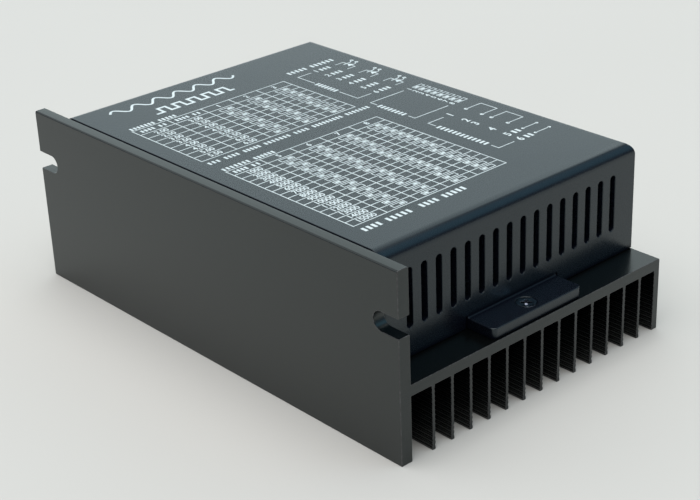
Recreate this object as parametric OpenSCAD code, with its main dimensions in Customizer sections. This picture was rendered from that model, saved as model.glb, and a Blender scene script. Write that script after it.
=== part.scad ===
// Stepper motor driver in a finned heat sink with a folded sheet cover.
// Row frame: X along the extrusion, Y from the mounting face towards the connectors, +Z up.
// The origin lies on the mounting face, midway between the two mounting notches.
// Inside the modules, heights are measured from the feet (the fin tips); on_feet() moves them down.

/* [Heat sink] */
// Length of the extrusion
sink_length = 151; // [145:0.5:160]
// Depth from the mounting face to the outer fin
sink_depth = 97.5; // [97.5:0.5:100]
// Height from the fin tips to the top of the mounting plate
sink_height = 52.6; // [52.6:0.1:56]
// Thickness of the upright mounting plate
plate_t = 3.6; // [3:0.1:3.6]
// Length of the fins below the base
fin_height = 18.2; // [16:0.1:19]
// Thickness of the base above the fins
base_t = 3.1; // [2.8:0.1:3.1]
// Near face of the first fin, from the mounting face
first_fin_y = 10.46; // [10.2:0.01:10.8]
// Distance from fin to fin
fin_pitch = 6.52; // [6.45:0.01:6.55]
// Thickness of a fin
fin_t = 1.1; // [0.9:0.05:1.4]
// Thickness of the outer fin, which stiffens the edge
edge_fin_t = 2.2; // [1.6:0.1:2.4]
// Distance between the ribs rolled along each fin
rib_pitch = 1.3; // [1.2:0.1:2]
// Depth of the grooves between the ribs
rib_depth = 0.2; // [0.1:0.05:0.3]

/* [Mounting notches] */
// Distance between the centres of the two notches' round ends
notch_spacing = 139; // [136:0.5:141]
// Width of each notch
notch_w = 5.2; // [4.5:0.1:6.5]
// Height of the notches above the feet
notch_height = 37.5; // [34:0.1:42]

/* [Cover] */
// Length over the cover's end walls
cover_length = 131.6; // [131:0.1:132]
// Sheet thickness
sheet_t = 3; // [2.6:0.1:3]
// Outside radius of the folds
fold_r = 3.5; // [3.3:0.1:4]
// Gap between the mounting plate and the cover's edge
cover_gap = 0.4; // [0.3:0.05:0.6]
// Number of vent slots in each end wall
vent_count = 16; // [10:1:16]
// Distance from vent slot to vent slot
vent_pitch = 5.02; // [4.8:0.01:5.05]
// Width of a vent slot
vent_w = 2; // [1.6:0.1:2.6]
// Length of a vent slot
vent_length = 16.2; // [12:0.1:17]
// Width of the screw tab at the foot of each end wall
tab_w = 33.2; // [26:0.1:34]
// Length over both screw tabs
tab_span = 149.4; // [148.8:0.1:150]

/* [Board and connectors] */
// Height of the standoffs under the circuit board
standoff_h = 7; // [6.8:0.1:7]
// Thickness of the circuit board
board_t = 1.6; // [1.5:0.1:1.7]
// Centre of the signal connector
signal_x = -26.9; // [-27.4:0.1:-26.6]
// Centre of the power connector
power_x = 28.7; // [28.5:0.1:29.2]
// Centre of the DIP switch
dip_x = 0.9; // [0.7:0.1:1.1]
// Distance from terminal to terminal
pole_pitch = 5.08; // [5:0.02:5.08]
// Travel of a DIP switch slider
dip_travel = 2.1; // [1.5:0.1:2.1]
// Travel of a wire cage as its screw is tightened
cage_travel = 2.2; // [1.5:0.1:2.2]

/* [Hidden] */
$fn = 48;
eps = 0.01;
poles = [1:6];
switches = [1:8];

// Heights above the feet
base_bottom = fin_height;
base_top = base_bottom + base_t;
board_bottom = base_top + standoff_h;
board_top = board_bottom + board_t;

// Heat sink
fin_count = floor((sink_depth - edge_fin_t - first_fin_y) / fin_pitch);
edge_r = 0.5;
ribs_per_side = floor((fin_height - 1) / rib_pitch);

// M3 screws: radii of shank, hole, clearance hole and pan head
screw_r = 1.45;
hole_r = 1.5;
clear_r = 1.65;
head_r = 2.75;
head_h = 2;
standoff_spots = [for (x = [-57, 57], y = [27.3, 86]) [x, y]];
clamp_xs = [-52, -26, 0, 26, 52];
clamp_y = 14.3;
transistor_xs = [for (s = [-1, 1], x = [7.5, 18.5, 33.5, 44.5]) s * x];

// Cover
cover_y0 = plate_t + cover_gap;
cover_y1 = sink_depth;
cover_top = sink_height - 0.1;
cover_foot = base_top + 0.05;
inner_x = cover_length / 2 - sheet_t;
vent_y0 = 13.1;
vent_z = 37.4;
tab_y = 49.5;
tab_screw_x = 70.4;
tab_corner_r = 1.5;
relief_w = 0.4;
countersink_r = 3;
countersink_h = countersink_r - clear_r;
cover_screw_length = 6.2;

// Plane just inside the connector wall, which the connectors come up to
front_y = cover_y1 - sheet_t - 0.2;

// Power transistors and their clamp
pad_t = 0.3;
transistor_y = 4.4;
transistor_w = 10.2;
transistor_h = 4.5;
transistor_tab_length = 15.7;
transistor_body_length = 9.2;
transistor_lead_y = transistor_y + transistor_tab_length + 3.45;
lead_pitch = 2.54;
bar_z = base_top + pad_t + transistor_h;
bar_t = 2.5;
bar_w = 6;
bar_length = 111;

// Headers and plugs
header_w = 31;
header_h = 8.6;
header_depth = 12;
header_y = front_y - header_depth;
pin_z = board_top + 4.3;
pin_w = 1;
pin_drop_y = header_y - 1.4;
nose_depth = 8.6;
plug_back_y = front_y + 10.4;
plug_z0 = board_top - 0.3;
plug_z1 = board_top + 12.4;
cage_y = front_y + 5.2;
cage_z = board_top + 0.7;
cage_h = 6;
cage_w = 4.1;
strip_z = cage_z + 3.9;
strip_t = 0.6;
wire_entry_w = 3.3;
shaft_shelf_z = cage_z + cage_h + cage_travel + 0.1;
screw_head_z = shaft_shelf_z + 0.9;
screw_shank_r = 1.2;
terminal_head_r = 1.9;

// DIP switch
dip_pitch = 2.54;
dip_w = 22.4;
dip_h = 9.6;
dip_depth = 5.6;
dip_y = front_y - dip_depth;
knob_h = 1.9;
dip_slot_h = dip_travel + knob_h + 0.2;
dip_slot_z = board_top + dip_h / 2 - dip_slot_h / 2;
dip_pin_ys = [dip_y + 1, dip_y + 4.6];

// Status lights, one above the other
led_x = -46.8;
led_zs = [board_top + 4.6, board_top + 9.7];
led_r = 1.5;
led_tip_y = cover_y1 - 0.3;
led_lead_pitch = 2.54;

// Board outline and the parts on it
board_w = 124;
board_back_y = 21.4;
driver_xs = [13, 39];
driver_y = 30.5;
shunt_xs = [4, 26];
shunt_y = 29.5;
capacitor_xs = [12, 29.5, 47];
capacitor_r = 8;
capacitor_y = 37.5;
capacitor_length = 32;
capacitor_lead_pitch = 7.5;
capacitor_lead_y = capacitor_y - 1.6;
rectifier_x = 58.2;
rectifier_y = 55;
rectifier_lead_pitch = 5.08;
inductor_x = -50;
inductor_y = 44;
fuse_x = 34;
fuse_y = 76;
controller_x = -22;
controller_y = 56;
coupler_pitch = 10.16;
coupler_y = 74;

// Colours
anodised = [0.22, 0.23, 0.24];
paint = [0.2, 0.21, 0.22];
dark_zinc = [0.45, 0.46, 0.5];
bright_zinc = [0.75, 0.76, 0.8];
tin = [0.82, 0.8, 0.74];
brass = [0.78, 0.65, 0.35];
board_green = [0.05, 0.3, 0.16];
plug_green = [0.16, 0.5, 0.25];
epoxy = [0.11, 0.11, 0.12];
white = [0.92, 0.92, 0.9];

function row_name(stem, numbers) = [for (i = numbers) str(stem, i)];
function pole_x(cx, i) = cx + (i - 3.5) * pole_pitch;
function switch_x(i) = dip_x + (i - 4.5) * dip_pitch;
function led_lead_y(i) = front_y - 8.2 - i * 2;
function reversed(list) = [for (i = [len(list) - 1:-1:0]) list[i]];

// Points along an arc from angle a0 to a1
function corner(cy, cz, r, a0, a1) = [
    for (i = [0:3]) let (a = a0 + (a1 - a0) * i / 3) [cy + r * cos(a), cz + r * sin(a)]
];

// Every lead that passes through the board: [x, y, hole radius]
lead_holes = concat(
    [for (cx = [signal_x, power_x], i = poles) [pole_x(cx, i), pin_drop_y, 0.8]],
    [for (i = switches, y = dip_pin_ys) [switch_x(i), y, 0.4]],
    [for (x = transistor_xs, i = [-1:1]) [x + i * lead_pitch, transistor_lead_y, 0.65]],
    [for (x = capacitor_xs, s = [-1, 1]) [x + s * capacitor_lead_pitch / 2, capacitor_lead_y, 0.7]],
    [for (i = [-1.5:1.5]) [rectifier_x, rectifier_y + i * rectifier_lead_pitch, 0.75]],
    [for (s = [-1, 1], i = [0, 1]) [led_x + s * led_lead_pitch / 2, led_lead_y(i), 0.5]]
);

// ---------- shared shapes ----------

module on_feet() {
    translate([0, 0, -notch_height]) children();
}

// A block given by its lowest and highest corners
module block(low, high) {
    translate(low) cube(high - low);
}

// Extrudes a Y-Z outline along X, centred on x = 0
module along_x(length) {
    rotate([90, 0, 90]) linear_extrude(length, center = true) children();
}

// An X-Z outline extruded along Y from y0 to y1
module along_y(y0, y1) {
    translate([0, y1, 0]) rotate([90, 0, 0]) linear_extrude(y1 - y0) children();
}

module post(x, y, z0, z1, r) {
    translate([x, y, z0]) cylinder(h = z1 - z0, r = r);
}

// Cross recess cut into the top of a screw head
module cross_recess(z, size, depth) {
    for (a = [45, 135])
        rotate(a) translate([-size / 2, -size / 8, z - depth]) cube([size, size / 4, depth + eps]);
}

module pan_screw(x, y, z, length) {
    translate([x, y, z]) difference() {
        union() {
            cylinder(h = head_h, r = head_r);
            translate([0, 0, -length]) cylinder(h = length + eps, r = screw_r);
        }
        cross_recess(head_h, 3.2, 1.2);
    }
}

// A chip with a row of gull-wing legs along each long side
module chip(x, y, size, legs, leg_pitch) {
    translate([x, y, board_top]) {
        translate([-size[0] / 2, -size[1] / 2, 0.1]) cube(size);
        for (s = [-1, 1], i = [0:legs - 1])
            translate([(i - (legs - 1) / 2) * leg_pitch - 0.2, s * (size[1] / 2 + 0.4) - 0.5, 0])
                cube([0.4, 1, 0.25]);
    }
}

// ---------- heat sink ----------

// One side of a fin from the base down to the tip; into = +1 or -1 points into the metal
function fin_side(y, into) = [
    for (i = [0:ribs_per_side * 2])
        [y + (i % 2 == 0 ? 0 : into * rib_depth), base_bottom - 0.6 - i * rib_pitch / 2]
];
function fin_outline(y, t) = concat(
    [[y, base_bottom]],
    fin_side(y, 1),
    [[y, 0], [y + t, 0]],
    reversed(fin_side(y + t, -1)),
    [[y + t, base_bottom]]
);

sink_profile = concat(
    [[0, 0], [plate_t, 0], [plate_t, base_bottom]],
    [for (i = [0:fin_count - 1], p = fin_outline(first_fin_y + i * fin_pitch, fin_t)) p],
    [[sink_depth - edge_fin_t, base_bottom]],
    fin_side(sink_depth - edge_fin_t, 1),
    [[sink_depth - edge_fin_t, 0], [sink_depth, 0]],
    corner(sink_depth - edge_r, base_top - edge_r, edge_r, 0, 90),
    [[plate_t, base_top]],
    corner(plate_t - edge_r, sink_height - edge_r, edge_r, 0, 90),
    corner(edge_r, sink_height - edge_r, edge_r, 90, 180)
);

// Open U notch cut into the plate from one end
module notch(side) {
    translate([side * notch_spacing / 2, -1, notch_height]) {
        rotate([-90, 0, 0]) cylinder(h = plate_t + 2, r = notch_w / 2);
        translate([side > 0 ? 0 : -20, 0, -notch_w / 2]) cube([20, plate_t + 2, notch_w]);
    }
}

module heat_sink() {
    color(anodised) on_feet() difference() {
        along_x(sink_length) polygon(sink_profile);
        notch(-1);
        notch(1);
        for (s = [-1, 1]) post(s * tab_screw_x, tab_y, base_top - 5, base_top + 1, hole_r);
        for (p = standoff_spots) post(p[0], p[1], base_bottom - 1, base_top + 1, hole_r);
        for (x = clamp_xs) post(x, clamp_y, base_bottom - 1, base_top + 1, hole_r);
    }
}

// ---------- cover ----------

// Rectangle standing on y = 0, with its upper corners rounded
module arch(w, h, r) {
    translate([-w / 2, 0]) square([w, h - r]);
    translate([r - w / 2, 0]) square([w - 2 * r, h]);
    for (s = [-1, 1]) translate([s * (w / 2 - r), h - r]) circle(r);
}

// The cover's solid outside, or the hollow inside it when t is the sheet thickness
module cover_form(z0, t) {
    r = fold_r - t;
    y0 = t > 0 ? cover_y0 - 1 : cover_y0;
    intersection() {
        translate([0, 0, z0]) along_y(y0, cover_y1 - t)
            arch(cover_length - 2 * t, cover_top - t - z0, r);
        along_x(cover_length) union() {
            translate([y0, z0]) square([cover_y1 - t - r - y0, cover_top - t - z0]);
            translate([y0, z0]) square([cover_y1 - t - y0, cover_top - t - r - z0]);
            translate([cover_y1 - t - r, cover_top - t - r]) circle(r);
        }
    }
}

// Vertical vent slots, cut through both end walls at once
module vents() {
    for (i = [0:vent_count - 1]) translate([0, vent_y0 + i * vent_pitch, vent_z]) {
        cube([cover_length + 2, vent_w, vent_length - vent_w], center = true);
        for (s = [-1, 1])
            translate([0, 0, s * (vent_length - vent_w) / 2])
                rotate([0, 90, 0]) cylinder(h = cover_length + 2, r = vent_w / 2, center = true);
    }
}

// Section of the screw tab in X-Z: a flange, folded out of the end wall with the folds' radius
module tab_section() {
    tip = tab_span / 2;
    inside_r = fold_r - sheet_t;
    difference() {
        union() {
            translate([inner_x, base_top]) square([tip - inner_x, sheet_t]);
            translate([inner_x, base_top]) square(fold_r);
        }
        translate([inner_x + fold_r, base_top + fold_r]) circle(inside_r);
        difference() {
            translate([inner_x - 1, base_top - 1]) square(fold_r + 1);
            translate([inner_x + fold_r, base_top + fold_r]) circle(fold_r);
        }
    }
}

// Plan of the screw tab, with rounded outer corners
module tab_plan() {
    corner_x = tab_span / 2 - tab_corner_r;
    translate([inner_x - 1, -tab_w / 2]) square([corner_x - inner_x + 1, tab_w]);
    translate([corner_x - 1, tab_corner_r - tab_w / 2]) square([tab_corner_r + 1, tab_w - 2 * tab_corner_r]);
    for (s = [-1, 1]) translate([corner_x, s * (tab_w / 2 - tab_corner_r)]) circle(tab_corner_r);
}

// Screw tab at the foot of the +X end wall
module tab() {
    intersection() {
        along_y(tab_y - tab_w / 2, tab_y + tab_w / 2) tab_section();
        translate([0, tab_y, base_top - 1]) linear_extrude(fold_r + 2) tab_plan();
    }
}

// Countersunk hole for a cover screw
module countersunk_hole(x) {
    post(x, tab_y, base_top - 1, base_top + sheet_t + 1, clear_r);
    translate([x, tab_y, base_top + sheet_t - countersink_h])
        cylinder(h = countersink_h + eps, r1 = clear_r, r2 = countersink_r + eps);
}

// Openings in the wall at the connector side
module connector_windows() {
    window_w = header_w + 0.8;
    for (cx = [signal_x, power_x])
        block([cx - window_w / 2, front_y, plug_z0 - 0.4],
              [cx + window_w / 2, cover_y1 + 1, plug_z1 + 0.5]);
    block([dip_x - dip_w / 2 + 0.7, front_y, board_top + 0.8],
          [dip_x + dip_w / 2 - 0.7, cover_y1 + 1, board_top + dip_h - 0.8]);
    for (z = led_zs)
        translate([led_x, front_y, z]) rotate([-90, 0, 0]) cylinder(h = sheet_t + 1, r = led_r + 0.2);
}

// Open seams between the end walls and the connector wall, each with a round relief at its top
module corner_seams() {
    seam_w = 0.25;
    seam_top = cover_top - fold_r;
    for (s = [-1, 1]) {
        block([s * inner_x - seam_w / 2, cover_y1 - sheet_t - 0.5, cover_foot - 1],
              [s * inner_x + seam_w / 2, cover_y1 + 1, seam_top]);
        translate([s * inner_x, cover_y1 - sheet_t - 0.5, seam_top])
            rotate([-90, 0, 0]) cylinder(h = sheet_t + 1, r = 0.6);
    }
}

// Narrow cuts beside each tab that let the sheet fold
module fold_reliefs() {
    for (s = [-1, 1], e = [-1, 1])
        translate([s * (inner_x + sheet_t / 2), tab_y + e * (tab_w + relief_w) / 2, cover_foot])
            cube([sheet_t + 1, relief_w, 2 * fold_r], center = true);
}

// Strip of each end wall that stands on the tab's fold
module wall_above_tabs() {
    for (s = [-1, 1])
        translate([s * (inner_x + sheet_t / 2), tab_y, base_top + fold_r + 0.4])
            cube([sheet_t, tab_w, 1], center = true);
}

module cover() {
    color(paint) on_feet() difference() {
        union() {
            difference() {
                cover_form(cover_foot, 0);
                cover_form(cover_foot - 1, sheet_t);
                for (s = [-1, 1])
                    translate([s * (inner_x + sheet_t / 2), tab_y, cover_foot])
                        cube([sheet_t + 1, tab_w, 2 * fold_r], center = true);
            }
            tab();
            mirror([1, 0, 0]) tab();
            wall_above_tabs();
        }
        vents();
        connector_windows();
        corner_seams();
        fold_reliefs();
        for (s = [-1, 1]) countersunk_hole(s * tab_screw_x);
    }
}

// Flat head screws that sink into the tabs
module cover_screws() {
    head_z = base_top + sheet_t - 0.05;
    color(dark_zinc) on_feet() for (s = [-1, 1]) translate([s * tab_screw_x, tab_y, head_z]) difference() {
        union() {
            translate([0, 0, -countersink_h])
                cylinder(h = countersink_h, r1 = screw_r, r2 = screw_r + countersink_h);
            post(0, 0, -cover_screw_length, eps - countersink_h, screw_r);
        }
        cross_recess(0, 3, 1.1);
    }
}

// ---------- circuit board ----------

module circuit_board() {
    color(board_green) on_feet() difference() {
        block([-board_w / 2, board_back_y, board_bottom], [board_w / 2, front_y - 0.5, board_top]);
        for (p = standoff_spots) post(p[0], p[1], board_bottom - 1, board_top + 1, clear_r);
        for (h = lead_holes) post(h[0], h[1], board_bottom - 1, board_top + 1, h[2]);
    }
}

// Hexagonal pillar with a stud below and a threaded hole above
module standoff() {
    across_corners_r = 3.175;
    difference() {
        union() {
            translate([0, 0, base_top]) cylinder(h = standoff_h, r = across_corners_r, $fn = 6);
            post(0, 0, base_bottom + 0.4, base_top + eps, screw_r);
        }
        post(0, 0, board_bottom - 5.5, board_bottom + 1, hole_r);
    }
}

module board_standoffs() {
    color(brass) on_feet() for (p = standoff_spots) translate([p[0], p[1], 0]) standoff();
}

module board_screws() {
    length = board_t + 4.5;
    color(bright_zinc) on_feet() for (p = standoff_spots) pan_screw(p[0], p[1], board_top, length);
}

// ---------- output stage ----------

// Metal tab with a moulded body, and three leads that turn up into the board
module power_transistor(x) {
    lead_z = 2.4;
    translate([x, transistor_y, base_top + pad_t]) difference() {
        union() {
            translate([-transistor_w / 2, 0, 0]) cube([transistor_w, transistor_tab_length, 1.3]);
            translate([-transistor_w / 2, transistor_tab_length - transistor_body_length, 0])
                cube([transistor_w, transistor_body_length, transistor_h]);
            for (i = [-1:1]) translate([i * lead_pitch - 0.4, transistor_tab_length, lead_z]) {
                translate([0, -1, 0]) cube([0.8, 4.7, 0.5]);
                translate([0, 3.2, 0]) cube([0.8, 0.5, board_t + standoff_h]);
            }
        }
        post(0, 2.9, -1, 3, 1.8);
    }
}

module power_transistors() {
    color(epoxy) on_feet() for (x = transistor_xs) power_transistor(x);
}

module insulating_pad() {
    color([0.55, 0.6, 0.66]) on_feet() difference() {
        block([-56, transistor_y - 0.3, base_top], [56, transistor_y + 16.1, base_top + pad_t]);
        for (x = clamp_xs) post(x, clamp_y, base_top - 1, base_top + 1, clear_r);
    }
}

module clamp_bar() {
    color(bright_zinc) on_feet() difference() {
        translate([-bar_length / 2, clamp_y - bar_w / 2, bar_z]) cube([bar_length, bar_w, bar_t]);
        for (x = clamp_xs) post(x, clamp_y, bar_z - 1, bar_z + bar_t + 1, clear_r);
    }
}

module clamp_screws() {
    length = bar_z + bar_t - base_bottom - 0.4;
    color(bright_zinc) on_feet() for (x = clamp_xs) pan_screw(x, clamp_y, bar_z + bar_t, length);
}

module gate_drivers() {
    color(epoxy) on_feet() for (s = [-1, 1], x = driver_xs) chip(s * x, driver_y, [9.9, 3.9, 1.5], 7, 1.27);
}

// Bent metal straps that measure the motor current
module sense_shunts() {
    size = [7, 4, 3.6];
    strap_t = 0.8;
    color([0.7, 0.6, 0.5]) on_feet() for (s = [-1, 1], x = shunt_xs)
        translate([s * x - size[0] / 2, shunt_y - size[1] / 2, board_top]) difference() {
            cube(size);
            translate([strap_t, -1, -1]) cube([size[0] - 2 * strap_t, size[1] + 2, size[2] - strap_t + 1]);
        }
}

// ---------- supply ----------

// Electrolytic can lying along Y, with a rolled groove and two bent leads
module bulk_capacitor(x) {
    axis_z = board_top + capacitor_r + 0.1;
    groove_y = capacitor_y + 3;
    lead_r = 0.4;
    module can(y0, y1, r) {
        translate([x, y0, axis_z]) rotate([-90, 0, 0]) cylinder(h = y1 - y0, r = r);
    }
    can(capacitor_y, groove_y, capacitor_r);
    can(groove_y - eps, groove_y + 1 + eps, capacitor_r - 0.6);
    can(groove_y + 1, capacitor_y + capacitor_length, capacitor_r);
    for (s = [-1, 1]) translate([x + s * capacitor_lead_pitch / 2, capacitor_lead_y, 0]) {
        block([-lead_r, -lead_r, axis_z - lead_r], [lead_r, 2.6, axis_z + lead_r]);
        block([-lead_r, -lead_r, board_bottom - 1], [lead_r, lead_r, axis_z + lead_r]);
    }
}

module bulk_capacitors() {
    color([0.08, 0.1, 0.2]) on_feet() for (x = capacitor_xs) bulk_capacitor(x);
}

// Flat moulded block standing on four leads in a row
module bridge_rectifier() {
    size = [3.6, 22, 18.2];
    color(epoxy) on_feet() translate([rectifier_x, rectifier_y, 0]) {
        translate([-size[0] / 2, -size[1] / 2, board_top + 1]) cube(size);
        for (i = [-1.5:1.5]) post(0, i * rectifier_lead_pitch, board_bottom - 1, board_top + 2, 0.6);
    }
}

// Drum core with its winding
module supply_inductor() {
    flange_t = 1.6;
    winding_h = 6.8;
    color([0.55, 0.3, 0.15]) on_feet() translate([inductor_x, inductor_y, board_top]) {
        cylinder(h = flange_t, r = 6.5);
        cylinder(h = winding_h + 2 * flange_t, r = 5.4);
        translate([0, 0, flange_t + winding_h]) cylinder(h = flange_t, r = 6.5);
    }
}

// Glass cartridge fuse lying in two spring clips
module supply_fuse() {
    axis_z = board_top + 4;
    length = 20;
    cap_length = 5.5;
    cap_r = 2.6;
    clip_w = 4;
    module barrel(x0, x1, r) {
        translate([fuse_x + x0, fuse_y, axis_z]) rotate([0, 90, 0]) cylinder(h = x1 - x0, r = r);
    }
    color([0.8, 0.8, 0.78]) on_feet() {
        barrel(0, cap_length, cap_r);
        barrel(cap_length - 0.5, length - cap_length + 0.5, cap_r - 0.3);
        barrel(length - cap_length, length, cap_r);
        for (x = [1, length - clip_w - 1]) difference() {
            block([fuse_x + x, fuse_y - 3.3, board_top], [fuse_x + x + clip_w, fuse_y + 3.3, axis_z + 1.6]);
            barrel(x - 1, x + clip_w + 1, cap_r + 0.1);
            block([fuse_x + x - 1, fuse_y - 2, axis_z], [fuse_x + x + clip_w + 1, fuse_y + 2, axis_z + 3]);
        }
    }
}

// ---------- control ----------

// Square chip with legs on all four sides
module microcontroller() {
    size = [12, 12, 1.5];
    color(epoxy) on_feet() translate([controller_x, controller_y, 0])
        for (turn = [0, 90]) rotate(turn) chip(0, 0, size, 11, 0.8);
}

module optocouplers() {
    size = [8.8, 6.4, 3.4];
    color(white) on_feet() for (i = [-1:1]) chip(signal_x + i * coupler_pitch, coupler_y, size, 3, 2.54);
}

// ---------- status lights ----------

// Block on the board that holds both lights level
module led_holder() {
    w = 5.2;
    color(epoxy) on_feet() difference() {
        block([led_x - w / 2, front_y - 6.4, board_top], [led_x + w / 2, front_y - 1.2, led_zs[1] + w / 2]);
        for (z = led_zs)
            translate([led_x, front_y - 7, z]) rotate([-90, 0, 0]) cylinder(h = 7, r = led_r + 0.05);
    }
}

// Round light pointing along +Y, with its two leads bent down into the board
module led(i) {
    z = led_zs[i];
    lead_y = led_lead_y(i);
    lead_r = 0.25;
    back_y = front_y - 7.5;
    translate([led_x, 0, z]) {
        translate([0, back_y, 0]) rotate([-90, 0, 0]) cylinder(h = 1, r = 1.9);
        translate([0, back_y, 0]) rotate([-90, 0, 0]) cylinder(h = led_tip_y - led_r - back_y, r = led_r);
        translate([0, led_tip_y - led_r, 0]) sphere(led_r);
        for (s = [-1, 1]) translate([s * led_lead_pitch / 2, lead_y, 0]) {
            block([-lead_r, -lead_r, -lead_r], [lead_r, back_y + 0.5 - lead_y, lead_r]);
            block([-lead_r, -lead_r, board_bottom - 1 - z], [lead_r, lead_r, lead_r]);
        }
    }
}

module power_led() {
    color([0.3, 0.8, 0.35]) on_feet() led(1);
}

module fault_led() {
    color([0.85, 0.2, 0.18]) on_feet() led(0);
}

// ---------- DIP switch ----------

// Body with a slot for each slider's knob and a wider channel behind it for the slider's foot
module dip_switch() {
    color([0.75, 0.12, 0.1]) on_feet() {
        difference() {
            block([dip_x - dip_w / 2, dip_y, board_top], [dip_x + dip_w / 2, front_y, board_top + dip_h]);
            for (i = switches) translate([switch_x(i), front_y, dip_slot_z]) {
                block([-0.75, -2, 0], [0.75, 1, dip_slot_h]);
                block([-1.05, -3, -0.6], [1.05, -0.8, dip_slot_h + 0.6]);
            }
        }
        for (i = switches, y = dip_pin_ys) post(switch_x(i), y, board_bottom - 1, board_top + eps, 0.3);
    }
}

// Slider in its lower place: a knob on the outside, held by a wider foot behind the slot
module dip_slider(i) {
    z = dip_slot_z + 0.1;
    color(white) on_feet() translate([switch_x(i), 0, z]) {
        block([-0.65, front_y - 1, 0], [0.65, front_y + 0.9, knob_h]);
        block([-0.95, front_y - 2.8, -0.5], [0.95, front_y - 0.9, knob_h + 0.5]);
    }
}

// ---------- headers ----------

// Shroud open towards +Y, with a square hole for each pin
module board_header(cx) {
    wall = 0.9;
    hole_w = pin_w + 0.1;
    translate([cx, 0, 0]) difference() {
        block([-header_w / 2, header_y, board_top], [header_w / 2, front_y, board_top + header_h]);
        block([wall - header_w / 2, front_y - nose_depth - 0.4, board_top + 1],
              [header_w / 2 - wall, front_y + 1, board_top + header_h - 1]);
        for (i = poles) translate([pole_x(0, i), header_y - 1, pin_z])
            block([-hole_w / 2, 0, -hole_w / 2], [hole_w / 2, header_depth, hole_w / 2]);
    }
}

module board_headers() {
    color(plug_green) on_feet() {
        board_header(signal_x);
        board_header(power_x);
    }
}

// Pins that run from the plug back through the header and down through the board
module header_pins() {
    r = pin_w / 2;
    color(tin) on_feet() for (cx = [signal_x, power_x], i = poles) translate([pole_x(cx, i), pin_drop_y, 0]) {
        block([-r, -r, pin_z - r], [r, front_y - 1.2 - pin_drop_y, pin_z + r]);
        block([-r, -r, board_bottom - 1.4], [r, r, pin_z]);
    }
}

// ---------- plugs ----------

// Wire entry of one pole: a straight passage with a bevelled mouth
module wire_entry() {
    z0 = cage_z + 0.9;
    h = 3;
    mouth = 0.8;
    block([-wire_entry_w / 2, cage_y, z0], [wire_entry_w / 2, plug_back_y + 1, z0 + h]);
    block([-(wire_entry_w + mouth) / 2, plug_back_y - mouth, z0 - mouth / 2],
          [(wire_entry_w + mouth) / 2, plug_back_y + 1, z0 + h + mouth / 2]);
}

// Everything cut out of the plug for one pole
module pole_cavity() {
    socket_r = 1.35;
    pin_hole_r = 0.75;
    chamber_r = cage_w / 2 + 0.1;
    nose_y = front_y - nose_depth;
    block([-socket_r, nose_y + 0.8, pin_z - socket_r], [socket_r, cage_y, pin_z + socket_r]);
    block([-pin_hole_r, nose_y - 1, pin_z - pin_hole_r], [pin_hole_r, front_y, pin_z + pin_hole_r]);
    block([-chamber_r, cage_y - 2.3, cage_z - 0.2], [chamber_r, cage_y + 2.3, shaft_shelf_z]);
    wire_entry();
    post(0, cage_y, shaft_shelf_z - 1, plug_z1 + 1, screw_shank_r + 0.1);
    post(0, cage_y, screw_head_z - 0.1, plug_z1 + 1, terminal_head_r + 0.2);
}

// Plug: a nose that enters the header, and a stepped body with a groove between the poles
module plug(cx) {
    nose_w = header_w - 2;
    body_r = header_w / 2 - 0.25;
    groove_w = 0.5;
    translate([cx, 0, 0]) difference() {
        union() {
            block([-nose_w / 2, front_y - nose_depth, board_top + 1.2],
                  [nose_w / 2, front_y + 1, board_top + header_h - 1.2]);
            block([-body_r, front_y + 0.2, plug_z0], [body_r, plug_back_y, plug_z1 - 1.4]);
            block([-body_r, front_y + 1.6, plug_z0], [body_r, plug_back_y - 1, plug_z1]);
        }
        for (i = poles) translate([pole_x(0, i), 0, 0]) pole_cavity();
        for (i = [1:5]) translate([pole_x(0, i + 0.5), plug_back_y, 0])
            block([-groove_w / 2, -0.5, plug_z0 - 1], [groove_w / 2, 1, plug_z1 + 1]);
    }
}

// Folded socket on the header pin, and the strip that reaches through the wire cage
module contacts(cx) {
    socket_r = 1.2;
    for (i = poles) translate([pole_x(cx, i), front_y, 0]) {
        difference() {
            block([-socket_r, 1 - nose_depth, pin_z - socket_r], [socket_r, -1, pin_z + socket_r]);
            block([-0.6, -nose_depth, pin_z - 0.6], [0.6, 0, pin_z + 0.6]);
        }
        block([-socket_r, -1.1, strip_z], [socket_r, cage_y + 2.2 - front_y, strip_z + strip_t]);
    }
}

// Slotted screw that stays in place and lifts its cage as it turns
module terminal_screw(cx, i) {
    foot_z = strip_z + strip_t + 0.1;
    translate([pole_x(cx, i), cage_y, 0]) difference() {
        union() {
            post(0, 0, foot_z, screw_head_z + eps, screw_shank_r);
            post(0, 0, screw_head_z, screw_head_z + 1.6, terminal_head_r);
        }
        translate([-2.5, -0.3, screw_head_z + 0.8]) cube([5, 0.6, 1]);
    }
}

// Box round the wire and the strip, open along Y, with the screw through its top
module wire_cage(cx, i) {
    wall = 0.5;
    translate([pole_x(cx, i), cage_y, cage_z]) difference() {
        block([-cage_w / 2, -cage_w / 2, 0], [cage_w / 2, cage_w / 2, cage_h]);
        block([wall - cage_w / 2, -3, 0.7], [cage_w / 2 - wall, 3, cage_h - 1.2]);
        post(0, 0, cage_h / 2, cage_h + 1, screw_shank_r + 0.05);
    }
}

module signal_plug() {
    color(plug_green) on_feet() plug(signal_x);
}

module power_plug() {
    color(plug_green) on_feet() plug(power_x);
}

module signal_contacts() {
    color(tin) on_feet() contacts(signal_x);
}

module power_contacts() {
    color(tin) on_feet() contacts(power_x);
}

module plug_screw(cx, i) {
    color(bright_zinc) on_feet() terminal_screw(cx, i);
}

module plug_cage(cx, i) {
    color(tin) on_feet() wire_cage(cx, i);
}

// ---------- nodes ----------

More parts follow.
